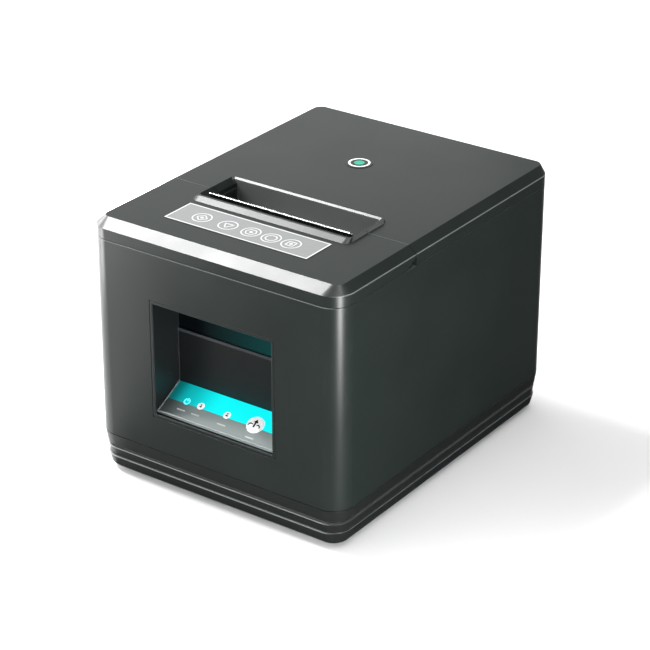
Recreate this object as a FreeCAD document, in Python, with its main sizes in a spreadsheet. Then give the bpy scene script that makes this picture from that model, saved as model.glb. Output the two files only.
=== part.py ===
"""Desktop receipt printer for 80 mm paper rolls, as an assembly of separate pieces.

Frame: millimetres, +Z up, the front faces -Y, the origin is on the table under the middle.
"""
import FreeCAD, Part
import math
import os
import re

import Sketcher

Vector = FreeCAD.Vector
doc = FreeCAD.newDocument("receipt_printer")

# Driving dimensions, in millimetres and degrees.
DIMENSIONS = [
    ("width", 147.0, "case width"),
    ("depth", 185.0, "case depth"),
    ("wall", 2.4, "case wall"),
    ("corner_radius", 11.2, "vertical corners of the case"),
    ("top_corner_radius", 4.6, "corners of the flat top"),
    ("foot_height", 2.0, "rubber feet"),
    ("base_height", 21.2, "top edge of the base pan"),
    ("seam_gap", 0.3, "gap at every case seam"),
    ("floor_thickness", 2.6, "floor of the base pan"),
    ("cover_seam", 126.0, "top edge of the housing"),
    ("chamfer_start", 131.7, "lower edge of the slope round the top"),
    ("top_height", 135.4, "flat top"),
    ("side_inset", 4.6, "slope at the sides"),
    ("front_inset", 6.0, "slope at the front"),
    ("rear_inset", 2.0, "slope at the rear"),
    ("lid_edge", -31.3, "front edge of the lid"),
    ("slot_half", 42.0, "half the paper slot's length"),
    ("slot_front", -43.0, "front of the paper slot"),
    ("slot_rear", -17.0, "rear of the paper slot"),
    ("slot_wall", 2.0, "wall round the slot"),
    ("slot_corner", 1.2, "radius of the slot's upright corners"),
    ("slot_flare", 3.0, "how far the slot's mouth flares at each end"),
    ("flare_depth", 1.2, "how far below the top the flare starts"),
    ("slot_depth_level", 124.2, "lower edge of the slot's walls"),
    ("rim_height", 1.6, "raised rim round the slot"),
    ("rim_side", 4.3, "rim width at the sides"),
    ("rim_front", 5.8, "rim width in front"),
    ("rim_rear", 3.0, "rim width behind"),
    ("rim_top", 1.0, "flat on the rim"),
    ("rim_lip", 1.2, "slope on the rim's inner rear edge"),
    ("hinge_depth", 89.4, "lid hinge axis"),
    ("hinge_level", 126.3, "lid hinge axis"),
    ("barrel_radius", 3.1, "lid hinge barrel"),
    ("pin_radius", 1.5, "hinge pins and pivots"),
    ("running", 0.05, "radial clearance of a running fit"),
    ("niche_half", 34.8, "half the window's width"),
    ("niche_low", 41.2, "window sill"),
    ("niche_high", 100.0, "window head"),
    ("niche_wall", 1.8, "wall of the niche"),
    ("niche_back", -73.6, "back of the niche"),
    ("panel_front", -91.7, "front edge of the sloped panel"),
    ("panel_level", 42.7, "height of the panel's front edge"),
    ("panel_slope", 28.2, "panel angle in degrees"),
    ("panel_length", 19.8, "panel length up the slope"),
    ("panel_thickness", 1.2, "panel thickness"),
    ("icon_row", 10.2, "lights and button, up the slope"),
    ("button_place", 18.0, "feed button from the middle"),
    ("button_radius", 4.5, "feed button"),
    ("button_travel", 0.8, "feed button stroke"),
    ("platen_depth", -20.0, "platen axis"),
    ("platen_level", 110.0, "platen axis"),
    ("platen_radius", 6.0, "platen rubber"),
    ("shaft_radius", 3.0, "platen shaft"),
    ("bush_radius", 4.0, "platen bush"),
    ("stand_height", 64.0, "top of the mechanism stand"),
    ("plate_inner", 49.0, "inner faces of the mechanism's side plates"),
    ("sheet_metal", 1.5, "mechanism sheet metal"),
    ("gear_module", 0.6, "feed gears"),
    ("gear_inner", -52.2, "inner face of the feed gears"),
    ("gear_width", 4.0, "face width of the feed gears"),
    ("platen_teeth", 30, "platen gear"),
    ("idler_teeth", 36, "idler gear"),
    ("motor_teeth", 14, "feed motor pinion"),
    ("rack_module", 0.8, "cutter rack"),
    ("cutter_teeth", 12, "cutter pinion"),
    ("cutter_side", 30.0, "cutter motor axis"),
    ("cutter_depth", -56.0, "cutter motor axis"),
    ("blade_level", 117.2, "underside of the moving blade"),
    ("blade_thickness", 1.0, "cutter blades"),
    ("blade_edge", -39.0, "edge of the moving blade at rest"),
    ("blade_travel", 9.0, "cutter stroke"),
    ("roll_radius", 42.0, "inside of the paper bucket"),
    ("roll_half", 41.0, "half the bucket's inner width"),
    ("roll_depth", 44.5, "roll axis"),
    ("roll_level", 77.0, "roll axis"),
    ("bucket_wall", 1.8, "bucket wall"),
    ("bucket_top", 118.0, "bucket rim"),
    ("board_level", 24.4, "underside of the main board"),
    ("board_thickness", 1.6, "circuit boards"),
    ("switch_place", -46.0, "rocker switch from the middle"),
    ("switch_pivot", 84.0, "rocker axis"),
    ("rocker_tilt", 7.0, "rocker angle each way, in degrees"),
]
ALIASES = {alias for alias, value, note in DIMENSIONS}

sheet = doc.addObject("Spreadsheet::Sheet", "Dims")
for row, (alias, value, note) in enumerate(DIMENSIONS, start=1):
    sheet.set(f"A{row}", note)
    sheet.set(f"B{row}", str(value))
    sheet.setAlias(f"B{row}", alias)
doc.recompute()


def size(alias):
    """The number in the sheet's cell."""
    return float(sheet.get(alias))


def bound(formula):
    """A formula of the sheet's words, as FreeCAD writes it for another object."""
    return re.sub(
        r"[a-z_]+", lambda word: f"Dims.{word[0]}" if word[0] in ALIASES else word[0], formula
    )


# ---- solids whose sizes are bound to the sheet ----


def box(name, x, y, z):
    """A block between pairs of formulas (low, high) along each axis."""
    solid = doc.addObject("Part::Box", name)
    for length, axis, (low, high) in zip(("Length", "Width", "Height"), "xyz", (x, y, z)):
        solid.setExpression(length, bound(f"({high}) - ({low})"))
        solid.setExpression(f"Placement.Base.{axis}", bound(low))
    return solid


TURNS = {
    "x": FreeCAD.Rotation(Vector(0, 1, 0), 90),
    "y": FreeCAD.Rotation(Vector(1, 0, 0), -90),
    "z": FreeCAD.Rotation(),
}


def cylinder(name, axis, radius, span, centre):
    """A cylinder along an axis over span (low, high); centre has the other two coordinates."""
    solid = doc.addObject("Part::Cylinder", name)
    solid.Placement = FreeCAD.Placement(Vector(), TURNS[axis])
    solid.setExpression("Radius", bound(radius))
    solid.setExpression("Height", bound(f"({span[1]}) - ({span[0]})"))
    others = [letter for letter in "xyz" if letter != axis]
    for letter, formula in zip([axis] + others, (span[0],) + tuple(centre)):
        solid.setExpression(f"Placement.Base.{letter}", bound(formula))
    return solid


def fuse(name, solids):
    """One solid from several that touch."""
    whole = doc.addObject("Part::MultiFuse", name)
    whole.Shapes = solids
    whole.Refine = True
    return whole


def group(name, solids):
    """Identical pieces in one node, as separate solids."""
    pieces = doc.addObject("Part::Compound", name)
    pieces.Links = solids
    return pieces


def cut(name, base, tools):
    """Base without the tools."""
    result = doc.addObject("Part::Cut", name)
    result.Base = base
    result.Tool = tools[0] if len(tools) == 1 else fuse(f"{name}_tools", tools)
    return result


def common(name, first, second):
    """What two solids share."""
    result = doc.addObject("Part::Common", name)
    result.Base = first
    result.Tool = second
    return result


def ring(name, axis, outer, inner, span, centre):
    """A tube along an axis."""
    solid = cylinder(f"{name}_outside", axis, outer, span, centre)
    bore = cylinder(f"{name}_bore", axis, inner, (f"({span[0]}) - 1", f"({span[1]}) + 1"), centre)
    return cut(name, solid, [bore])


def both_sides(low, high):
    """The same span of x on the right and, mirrored, on the left."""
    return ((low, high), (f"-({high})", f"-({low})"))


# ---- sketched outlines and PartDesign bodies ----


def outline(sketch, half, front, rear, radius):
    """A rectangle with round corners, symmetric about x = 0, fully constrained to the sheet."""
    x = sketch.Document.getObject("Dims").evalExpression(half)
    low = sketch.Document.getObject("Dims").evalExpression(front)
    high = sketch.Document.getObject("Dims").evalExpression(rear)
    r = sketch.Document.getObject("Dims").evalExpression(radius)
    up = Vector(0, 0, 1)
    sides = [
        ((-x + r, low), (x - r, low)),
        ((x, low + r), (x, high - r)),
        ((x - r, high), (-x + r, high)),
        ((-x, high - r), (-x, low + r)),
    ]
    centres = [(x - r, low + r), (x - r, high - r), (-x + r, high - r), (-x + r, low + r)]
    for start, end in sides:
        sketch.addGeometry(Part.LineSegment(Vector(*start, 0), Vector(*end, 0)), False)
    for corner, centre in enumerate(centres):
        turn = math.radians(-90 + 90 * corner)
        circle = Part.Circle(Vector(*centre, 0), up, r)
        sketch.addGeometry(Part.ArcOfCircle(circle, turn, turn + math.pi / 2), False)
    for corner in range(4):
        arc = 4 + corner
        sketch.addConstraint(Sketcher.Constraint("Tangent", corner, 2, arc, 1))
        sketch.addConstraint(Sketcher.Constraint("Tangent", arc, 2, (corner + 1) % 4, 1))
        direction = "Horizontal" if corner % 2 == 0 else "Vertical"
        sketch.addConstraint(Sketcher.Constraint(direction, corner))
    for arc in (5, 6, 7):
        sketch.addConstraint(Sketcher.Constraint("Equal", 4, arc))
    driving = [
        ("Radius", (4, r), radius),
        ("DistanceX", (-1, 1, 1, 1, x), half),
        ("DistanceX", (-1, 1, 3, 1, -x), f"-({half})"),
        ("DistanceY", (-1, 1, 0, 1, low), front),
        ("DistanceY", (-1, 1, 2, 1, high), rear),
    ]
    for kind, values, formula in driving:
        index = sketch.addConstraint(Sketcher.Constraint(kind, *values))
        sketch.setExpression(f"Constraints[{index}]", bound(formula))


def body_sketch(body, name, level, edges):
    """An outline at a level above the body's XY plane."""
    sketch = body.newObject("Sketcher::SketchObject", name)
    plane = next(f for f in body.Origin.OriginFeatures if f.Role == "XY_Plane")
    sketch.AttachmentSupport = [(plane, "")]
    sketch.MapMode = "FlatFace"
    sketch.setExpression("AttachmentOffset.Base.z", bound(level))
    outline(sketch, *edges)
    return sketch


def case_outline(inset, radius_loss=None):
    """The case's plan, drawn in by an inset all round."""
    loss = radius_loss or inset
    return (
        f"width / 2 - ({inset})",
        f"-depth / 2 + ({inset})",
        f"depth / 2 - ({inset})",
        f"corner_radius - ({loss})",
    )


def pad(body, name, level, top, edges):
    """A straight prism from one level up to another."""
    feature = body.newObject("PartDesign::Pad", name)
    feature.Profile = body_sketch(body, f"{name}_sketch", level, edges)
    feature.setExpression("Length", bound(f"({top}) - ({level})"))
    return feature


def taper(body, name, low, low_edges, high, high_edges):
    """A ruled solid between two outlines at two levels."""
    feature = body.newObject("PartDesign::AdditiveLoft", name)
    feature.Profile = (body_sketch(body, f"{name}_low", low, low_edges), [""])
    feature.Sections = [(body_sketch(body, f"{name}_high", high, high_edges), [""])]
    feature.Ruled = True
    return feature


def pocket(body, name, level, depth, edges):
    """A straight pocket down from a level."""
    feature = body.newObject("PartDesign::Pocket", name)
    feature.Profile = body_sketch(body, f"{name}_sketch", level, edges)
    feature.setExpression("Length", bound(depth))
    return feature


def new_body(name):
    return doc.addObject("PartDesign::Body", name)


# ---- gears ----


def involute(angle):
    return math.tan(angle) - angle


def gear_wheel(teeth, module, tooth_at, bore, thickness):
    """An involute gear on the XY plane, with one tooth centred at an angle in degrees."""
    pressure = math.radians(20)
    backlash = 0.12
    pitch = module * teeth / 2
    base = pitch * math.cos(pressure)
    root = pitch - 1.25 * module
    tip = pitch + 0.9 * module
    flank_steps = 4
    half_pitch = math.pi / (2 * teeth) - backlash / (2 * pitch) + involute(pressure)
    start = max(root, base)
    flank = [(root, half_pitch)]
    for step in range(flank_steps + 1):
        radius = start + (tip - start) * step / flank_steps
        flank.append((radius, half_pitch - involute(math.acos(min(1, base / radius)))))
    if start == root:
        flank.pop(0)
    points = []
    for tooth in range(teeth):
        middle = math.radians(tooth_at) + 2 * math.pi * tooth / teeth
        turned = [(r, middle - a) for r, a in flank] + [(r, middle + a) for r, a in reversed(flank)]
        points += [Vector(r * math.cos(a), r * math.sin(a), 0) for r, a in turned]
    blank = Part.Face(Part.makePolygon(points + points[:1])).extrude(Vector(0, 0, thickness))
    return blank.cut(Part.makeCylinder(bore, thickness))


def feed_gear(name, teeth, depth, level, tooth_at, bore):
    """A feed gear about an axis along X; tooth_at is an angle from +Y towards +Z, in degrees."""
    gear = doc.addObject("Part::Feature", name)
    gear.Shape = gear_wheel(int(size(teeth)), size("gear_module"), tooth_at + 90, bore, size("gear_width"))
    outer_face = size("gear_inner") - size("gear_width")
    gear.Placement = FreeCAD.Placement(Vector(outer_face, depth, level), TURNS["x"])
    return gear


PARTS = {}


def piece(label, solid):
    """Marks a finished sub-part."""
    solid.Label = label
    PARTS[label] = solid
    return solid


# ---- base pan, feet and case screws ----

CASE_SCREW_PLACES = [(x, y) for x in (-60, 60) for y in (-79, 79)]


def base_pan():
    """The stepped base: bands that step inward towards the table, hollow from above."""
    body = new_body("base_body")
    taper(body, "lowest_edge", "foot_height", case_outline("3.8"),
          "foot_height + 1.3", case_outline("2.6"))
    taper(body, "low_band", "foot_height + 1.3", case_outline("2.6"),
          "foot_height + 6.5", case_outline("1.3"))
    taper(body, "middle_band", "foot_height + 6.5", case_outline("2.1"),
          "foot_height + 11.4", case_outline("1.2"))
    pad(body, "groove_band", "foot_height + 11.4", "foot_height + 13.3", case_outline("3.0"))
    taper(body, "upper_band", "foot_height + 13.3", case_outline("0.9"),
          "base_height", case_outline("0", "0"))
    pocket(body, "inside", "base_height",
           "base_height - foot_height - floor_thickness", case_outline("5.4"))
    posts = []
    holes = []
    for number, (x, y) in enumerate(CASE_SCREW_PLACES):
        place = (f"{x}", f"{y}")
        posts.append(cylinder(f"base_post_{number}", "z", "5", ("foot_height + 1", "base_height"), place))
        holes.append(cylinder(f"base_hole_{number}", "z", "1.8", ("0", "base_height + 1"), place))
        holes.append(cylinder(f"base_sink_{number}", "z", "3.6", ("0", "10"), place))
    for number, (x, y) in enumerate(BOARD_SCREW_PLACES):
        place = (f"{x}", f"{y}")
        posts.append(cylinder(f"board_post_{number}", "z", "3.2", ("foot_height + 1", "board_level"), place))
        holes.append(cylinder(f"board_post_hole_{number}", "z", "1.25", ("16", "board_level + 1"), place))
    solid = fuse("base_with_posts", [body] + posts)
    return piece("base_pan", cut("base_pan_cut", solid, holes))


def rubber_feet():
    feet = [
        cylinder(f"foot_{number}", "z", "6.5", ("0", "foot_height"), (f"{x}", f"{y}"))
        for number, (x, y) in enumerate([(-48, -78), (48, -78), (-48, 78), (48, 78)])
    ]
    return piece("rubber_feet", group("feet", feet))


def screw(name, axis, place, head_span, head_radius, shank_span, shank_radius):
    """A plain screw: head and shank."""
    head = cylinder(f"{name}_head", axis, head_radius, head_span, place)
    shank = cylinder(f"{name}_shank", axis, shank_radius, shank_span, place)
    return fuse(name, [head, shank])


def case_screws():
    screws = [
        screw(f"case_screw_{number}", "z", (f"{x}", f"{y}"), ("7.4", "10"), "3", ("10", "44"), "1.45")
        for number, (x, y) in enumerate(CASE_SCREW_PLACES)
    ]
    return piece("case_screws", group("case_screw_set", screws))


# ---- housing ----

KNUCKLE = ("40", "46")
REAR_OPENING = 57


def main_housing():
    """The tall shell between the base and the top covers, with its bosses and hinge knuckles."""
    body = new_body("housing_body")
    pad(body, "shell", "base_height + seam_gap", "cover_seam", case_outline("0", "0"))
    pocket(body, "shell_inside", "cover_seam", "cover_seam - base_height", case_outline("wall"))
    added = [body]
    removed = [
        box("window_hole", ("-niche_half - niche_wall - 0.1", "niche_half + niche_wall + 0.1"),
            ("-depth / 2 - 1", "-depth / 2 + wall + 1"),
            ("niche_low - niche_wall - 0.1", "niche_high + niche_wall + 0.1")),
        box("rear_hole", (f"-{REAR_OPENING}", f"{REAR_OPENING}"),
            ("depth / 2 - wall - 1", "depth / 2 + 1"), ("board_level + 1.1", "49")),
        box("barrel_notch", ("-70.1", "70.1"), ("hinge_depth - barrel_radius - 0.4", "depth / 2 + 1"),
            ("hinge_level - barrel_radius - 0.4", "cover_seam + 1")),
    ]
    for number, (x, y) in enumerate(CASE_SCREW_PLACES):
        place = (f"{x}", f"{y}")
        added.append(cylinder(f"boss_{number}", "z", "4", ("base_height + seam_gap", "56"), place))
        wall_side = ("60", "72") if x > 0 else ("-72", "-60")
        added.append(box(f"boss_web_{number}", wall_side, (f"{y} - 1.2", f"{y} + 1.2"),
                         ("base_height + seam_gap", "56")))
        removed.append(cylinder(f"boss_hole_{number}", "z", "1.5", ("15", "46"), place))
    shell = cut("housing_shell", fuse("housing_sum", added), removed)
    knuckles = []
    bores = []
    for number, span in enumerate(both_sides(*KNUCKLE)):
        knuckles.append(cylinder(f"knuckle_{number}", "x", "barrel_radius - 0.1", span,
                                 ("hinge_depth", "hinge_level")))
        knuckles.append(box(f"knuckle_foot_{number}", span,
                            ("hinge_depth - barrel_radius + 0.1", "depth / 2 - 0.1"),
                            ("119", "hinge_level")))
        bores.append(cylinder(f"knuckle_bore_{number}", "x", "pin_radius",
                              (f"({span[0]}) - 1", f"({span[1]}) + 1"), ("hinge_depth", "hinge_level")))
    return piece("main_housing", cut("housing_cut", fuse("housing_knuckled", [shell] + knuckles), bores))


def hinge_pins():
    pins = [
        cylinder(f"hinge_pin_{number}", "x", "pin_radius", span, ("hinge_depth", "hinge_level"))
        for number, span in enumerate(both_sides("34", "52"))
    ]
    return piece("hinge_pins", group("hinge_pin_set", pins))


# ---- top covers ----


def top_form(name, inset, top):
    """The covers' outer or inner form: a prism below the slope, a ruled slope and a flat top."""
    body = new_body(name)
    low = f"cover_seam + seam_gap - ({'0' if inset == '0' else '1'})"
    middle = f"chamfer_start - ({inset}) * 0.5"
    rounded = case_outline(inset, inset if inset != "0" else "0")
    pad(body, f"{name}_skirt", low, middle, rounded)
    upper = (
        f"width / 2 - side_inset - ({inset}) * 0.8",
        f"-depth / 2 + front_inset + ({inset}) * 0.8",
        f"depth / 2 - rear_inset - ({inset}) * 0.8",
        "top_corner_radius",
    )
    taper(body, f"{name}_slope", middle, rounded, top, upper)
    return body


def rim_solid():
    """The raised rim round the paper slot: a long slope in front, and steep ends."""
    body = new_body("slot_rim")
    base = ("slot_half + rim_side", "slot_front - rim_front", "slot_rear + rim_rear", "4")
    crest = ("slot_half + rim_side - rim_top", "slot_front - rim_top - 0.6",
             "slot_rear + rim_lip + rim_top - 0.2", "2.6")
    taper(body, "rim", "top_height - 0.5", base, "top_height + rim_height", crest)
    return body


def slot_opening():
    """The slot's upright shaft and its flared mouth, which guides the paper up past the rim."""
    shaft = new_body("slot_shaft")
    pad(shaft, "shaft", "slot_depth_level - 5", "top_height + 10",
        ("slot_half", "slot_front", "slot_rear", "slot_corner"))
    flare = new_body("slot_flare")
    throat = ("slot_half", "slot_front", "slot_rear", "slot_corner")
    mouth = ("slot_half + slot_flare", "slot_front - 0.2", "slot_rear + 0.2", "slot_corner + 0.6")
    taper(flare, "flare_cut", "top_height - flare_depth", throat, "top_height + rim_height + 0.4", mouth)
    lip = new_body("slot_lip")
    inside = ("slot_half + 1.9", "slot_front + 1", "slot_rear", "slot_corner")
    outside = ("slot_half + slot_flare", "slot_front + 1", "slot_rear + rim_lip * 1.5", "slot_corner + 0.6")
    taper(lip, "lip_cut", "top_height + rim_height - 0.8", inside, "top_height + rim_height + 0.4", outside)
    return [shaft, flare, lip]


def top_covers():
    """The front cover and the lid, split across the paper slot."""
    shell = cut("top_shell", top_form("top_outside", "0", "top_height"),
                [top_form("top_inside", "wall", "top_height - wall")])
    slot_box = box("slot_block", ("-slot_half - slot_wall", "slot_half + slot_wall"),
                   ("slot_front - slot_wall", "slot_rear + slot_wall"),
                   ("slot_depth_level", "top_height - 0.5"))
    whole = fuse("top_whole", [shell, slot_box, rim_solid()])
    open_top = cut("top_open", whole, slot_opening())
    front_half = box("front_half", ("-width", "width"), ("-depth", "lid_edge - seam_gap"), ("100", "150"))
    rear_half = box("rear_half", ("-width", "width"), ("lid_edge", "depth"), ("100", "150"))
    return common("front_part", open_top, front_half), common("lid_part", open_top, rear_half)


SCOOP_CUT_LENGTH = 10


def front_cover(front_part):
    """The fixed front cover, with a scoop at its rear right corner for a finger."""
    scoop = new_body("scoop_body")
    sketch = scoop.newObject("Sketcher::SketchObject", "scoop_sketch")
    plane = next(f for f in scoop.Origin.OriginFeatures if f.Role == "YZ_Plane")
    sketch.AttachmentSupport = [(plane, "")]
    sketch.MapMode = "FlatFace"
    sketch.setExpression("AttachmentOffset.Base.z", bound("width / 2 - 3"))
    seam = size("cover_seam") - 1
    edge = size("lid_edge")
    corners = [Vector(edge - 11, seam, 0), Vector(edge + 1, seam, 0), Vector(edge + 1, seam + 6.0, 0)]
    for start, end in zip(corners, corners[1:] + corners[:1]):
        sketch.addGeometry(Part.LineSegment(start, end), False)
    for corner in range(3):
        sketch.addConstraint(Sketcher.Constraint("Coincident", corner, 2, (corner + 1) % 3, 1))
    sketch.addConstraint(Sketcher.Constraint("Horizontal", 0))
    sketch.addConstraint(Sketcher.Constraint("Vertical", 1))
    driving = [
        ("DistanceX", (-1, 1, 0, 1, corners[0].x), "lid_edge - 11"),
        ("DistanceX", (-1, 1, 1, 1, corners[1].x), "lid_edge + 1"),
        ("DistanceY", (-1, 1, 1, 1, corners[1].y), "cover_seam - 1"),
        ("DistanceY", (-1, 1, 2, 1, corners[2].y), "cover_seam + 5"),
    ]
    for kind, values, formula in driving:
        index = sketch.addConstraint(Sketcher.Constraint(kind, *values))
        sketch.setExpression(f"Constraints[{index}]", bound(formula))
    feature = scoop.newObject("PartDesign::Pad", "scoop")
    feature.Profile = sketch
    feature.Length = SCOOP_CUT_LENGTH
    bosses = [
        cylinder(f"cover_boss_{number}", "z", "3.2", ("cover_seam - 2", "top_height - wall + 0.2"),
                 (f"{x}", "-66"))
        for number, x in enumerate((-56, 56))
    ]
    solid = fuse("front_cover_bossed", [front_part] + bosses)
    return piece("front_cover", cut("front_cover_cut", solid, [scoop]))


BRACKET_SCREW_PLACES = [(x, y) for x in (-30, 30) for y in (-10, 0)]


def lid(lid_part):
    """The rear lid with its hinge barrel and the bosses that carry the platen bracket."""
    barrel = common(
        "lid_barrel",
        cylinder("barrel_rod", "x", "barrel_radius", ("-69.7", "69.7"), ("hinge_depth", "hinge_level")),
        barrel_outline(),
    )
    bosses = [
        cylinder(f"lid_boss_{number}", "z", "3.2", ("129.2", "top_height - 1"), (f"{x}", f"{y}"))
        for number, (x, y) in enumerate(BRACKET_SCREW_PLACES)
    ]
    removed = []
    for number, span in enumerate(both_sides("39.6", "46.4")):
        removed.append(cylinder(f"knuckle_gap_{number}", "x", "barrel_radius + 0.4", span,
                                ("hinge_depth", "hinge_level")))
        removed.append(box(f"knuckle_window_{number}", span,
                           ("hinge_depth - barrel_radius - 0.4", "depth / 2 + 1"),
                           ("hinge_level - 4", "hinge_level + 4.2")))
    for number, span in enumerate(both_sides("33.5", "52.5")):
        removed.append(cylinder(f"lid_bore_{number}", "x", "pin_radius + running", span,
                                ("hinge_depth", "hinge_level")))
    for number, (x, y) in enumerate(BRACKET_SCREW_PLACES):
        removed.append(cylinder(f"lid_boss_hole_{number}", "z", "1.25", ("128", "132.6"),
                                (f"{x}", f"{y}")))
    return piece("lid", cut("lid_cut", fuse("lid_sum", [lid_part, barrel] + bosses), removed))


def barrel_outline():
    """The case's plan as a tall prism, which trims the barrel at the round corners."""
    body = new_body("barrel_plan")
    pad(body, "barrel_plan_pad", "hinge_level - 6", "hinge_level + 6", case_outline("0", "0"))
    return body


def lid_badge():
    """A thin round badge on the lid."""
    return piece("lid_badge", cylinder("badge_disc", "z", "7", ("top_height", "top_height + 0.2"),
                                       ("-6", "37")))


def icon_label():
    """The label in front of the slot."""
    return piece("icon_label", box("label_plate", ("-43", "40"), ("-71.7", "-51.6"),
                                   ("top_height", "top_height + 0.2")))


def tear_bar():
    """The upright tear-off bar across the paper slot."""
    return piece("tear_bar", box("tear_plate", ("-slot_half", "slot_half"), ("-38.6", "-37.4"),
                                 ("122.4", "top_height + 1.3")))


# ---- window niche, control panel and feed button ----

UPPER_BAND = "80.4"


def niche_insert():
    """The boxed niche behind the window; its back is open where the light bar shows."""
    outside = box("niche_outside", ("-niche_half - niche_wall", "niche_half + niche_wall"),
                  ("-depth / 2 + 0.1", "niche_back + 2"), ("niche_low - niche_wall", "niche_high + niche_wall"))
    inside = box("niche_inside", ("-niche_half", "niche_half"), ("-depth / 2 - 1", "niche_back"),
                 ("niche_low", "niche_high"))
    band = box("niche_band", ("-niche_half", "niche_half"), ("niche_back - 1", "niche_back + 3"),
               (UPPER_BAND, "niche_high"))
    board_slot = box("niche_board_slot", ("-32", "32"), ("-88.5", "niche_back + 3"),
                     ("niche_low - 3", "niche_low + 6"))
    return piece("niche_insert", cut("niche_cut", outside, [inside, band, board_slot]))


def light_bar():
    """The dark lit band at the top of the niche's back."""
    return piece("light_bar", box("light_plate", ("-niche_half", "niche_half"),
                                  ("niche_back + 0.8", "niche_back + 2"), (UPPER_BAND, "niche_high")))


def on_panel(solid, along=0.0, up_slope=0.0, height=0.0):
    """Places a solid that is drawn flat on the sloped panel."""
    slope = FreeCAD.Rotation(Vector(1, 0, 0), size("panel_slope"))
    panel = FreeCAD.Placement(Vector(0, size("panel_front"), size("panel_level")), slope)
    solid.Placement = panel.multiply(FreeCAD.Placement(Vector(along, up_slope, height), FreeCAD.Rotation()))
    return solid


LENS_PLACES = {"power_lens": [-23.2], "status_lenses": [-14.8, 1.0]}


def flat_disc(name, radius, height):
    solid = doc.addObject("Part::Cylinder", name)
    solid.setExpression("Radius", bound(radius))
    solid.setExpression("Height", bound(height))
    return solid


def flat_block(name, x, y, z):
    solid = doc.addObject("Part::Box", name)
    for length, (low, high) in zip(("Length", "Width", "Height"), (x, y, z)):
        solid.setExpression(length, bound(f"({high}) - ({low})"))
    return solid


def control_panel():
    """The sloped panel with holes for the feed button and the lights."""
    plate = on_panel(
        flat_block("panel_plate", ("-niche_half", "niche_half"), ("0", "panel_length"), ("0", "panel_thickness")),
        -size("niche_half"), 0, -size("panel_thickness"),
    )
    row = size("icon_row")
    below = -size("panel_thickness") - 1
    holes = [on_panel(flat_disc("button_hole", "button_radius + 0.2", "panel_thickness + 2"),
                      size("button_place"), row, below)]
    for label, places in LENS_PLACES.items():
        for number, x in enumerate(places):
            hole = flat_disc(f"{label}_hole_{number}", "2", "panel_thickness + 2")
            holes.append(on_panel(hole, x, row, below))
    return piece("control_panel", cut("panel_cut", plate, holes))


def lenses():
    """Light pipes for the lights, flush with the panel."""
    for label, places in LENS_PLACES.items():
        discs = [
            on_panel(flat_disc(f"{label}_{number}", "1.95", "panel_thickness + 0.6"),
                     x, size("icon_row"), -size("panel_thickness") - 0.6)
            for number, x in enumerate(places)
        ]
        piece(label, group(f"{label}_set", discs))


def feed_button():
    """The round feed button: a cap above the panel with a wider collar below it."""
    row = size("icon_row")
    place = size("button_place")
    cap = on_panel(flat_disc("button_cap", "button_radius", "button_travel + 2.9"), place, row, -2.8)
    collar = on_panel(flat_disc("button_collar", "button_radius + 1", "1"), place, row, -2.8)
    return piece("feed_button", fuse("button_sum", [cap, collar]))


def panel_board():
    """The small board behind the panel, with the push switch under the button."""
    board = flat_block("panel_board_plate", ("-31", "31"), ("3.5", "18.5"), ("0", "1.2"))
    piece("panel_board", on_panel(board, -31, 3.5, -7.6))
    row = size("icon_row")
    base = flat_block("push_switch_base", ("-3", "3"), ("-3", "3"), ("0", "2"))
    on_panel(base, size("button_place") - 3, row - 3, -6.4)
    plunger = on_panel(flat_disc("push_switch_plunger", "1.6", "0.7"), size("button_place"), row, -4.4)
    piece("push_switch", fuse("push_switch_sum", [base, plunger]))


# ---- print mechanism ----

PLATE_SPANS = both_sides("plate_inner", "plate_inner + sheet_metal")


def mechanism_frame():
    """Bent sheet frame: two side plates, a floor and a front cross plate for the head springs."""
    added = []
    removed = []
    for number, span in enumerate(PLATE_SPANS):
        added.append(box(f"side_plate_{number}", span, ("-38.5", "0"), ("stand_height", "116")))
        added.append(box(f"side_arm_{number}", span, ("-76", "-38"), ("104", "114")))
        wide = (f"({span[0]}) - 1", f"({span[1]}) + 1")
        removed.append(box(f"shaft_notch_{number}", wide,
                           ("platen_depth - shaft_radius - 1.8", "platen_depth + shaft_radius + 0.6"),
                           ("platen_level - shaft_radius - 0.6", "platen_level + 20")))
        removed.append(cylinder(f"rod_hole_{number}", "x", "pin_radius", wide, ("-30.2", "100.5")))
    inner = ("-plate_inner - 0.5", "plate_inner + 0.5")
    added.append(box("frame_floor", inner, ("-38.5", "0"),
                     ("stand_height", "stand_height + sheet_metal")))
    added.append(box("frame_cross", inner, ("-38.5", "-37"), ("95", "112")))
    motor_depth, motor_level = motor_axis()
    removed.append(cylinder("motor_hole", "x", "3", ("-52", "-48"), (f"{motor_depth}", f"{motor_level}")))
    return piece("mechanism_frame", cut("frame_cut", fuse("frame_sum", added), removed))


def idler_level():
    """The idler sits straight below the platen gear, so that the lid lifts one gear off the other."""
    return size("platen_level") - size("gear_module") * (size("platen_teeth") + size("idler_teeth")) / 2 - 0.15


def motor_axis():
    """The feed motor is below and in front of the idler, at 45 degrees."""
    reach = size("gear_module") * (size("idler_teeth") + size("motor_teeth")) / 2 + 0.15
    step = reach * math.sqrt(0.5)
    return size("platen_depth") - step, idler_level() - step


def mechanism_stand():
    """The plastic stand that carries the mechanism frame above the base."""
    floor = "foot_height + floor_thickness"
    solids = [box("stand_top", ("-48", "48"), ("-38.5", "0"), ("stand_height - 2.4", "stand_height"))]
    for number, span in enumerate(both_sides("45", "48")):
        solids.append(box(f"stand_side_{number}", span, ("-38.5", "0"), (floor, "stand_height - 2")))
        flange = ("45", "58") if number == 0 else ("-58", "-45")
        solids.append(box(f"stand_flange_{number}", flange, ("-30", "-8"), (floor, f"{floor} + 3")))
    return piece("mechanism_stand", fuse("stand_sum", solids))


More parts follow.
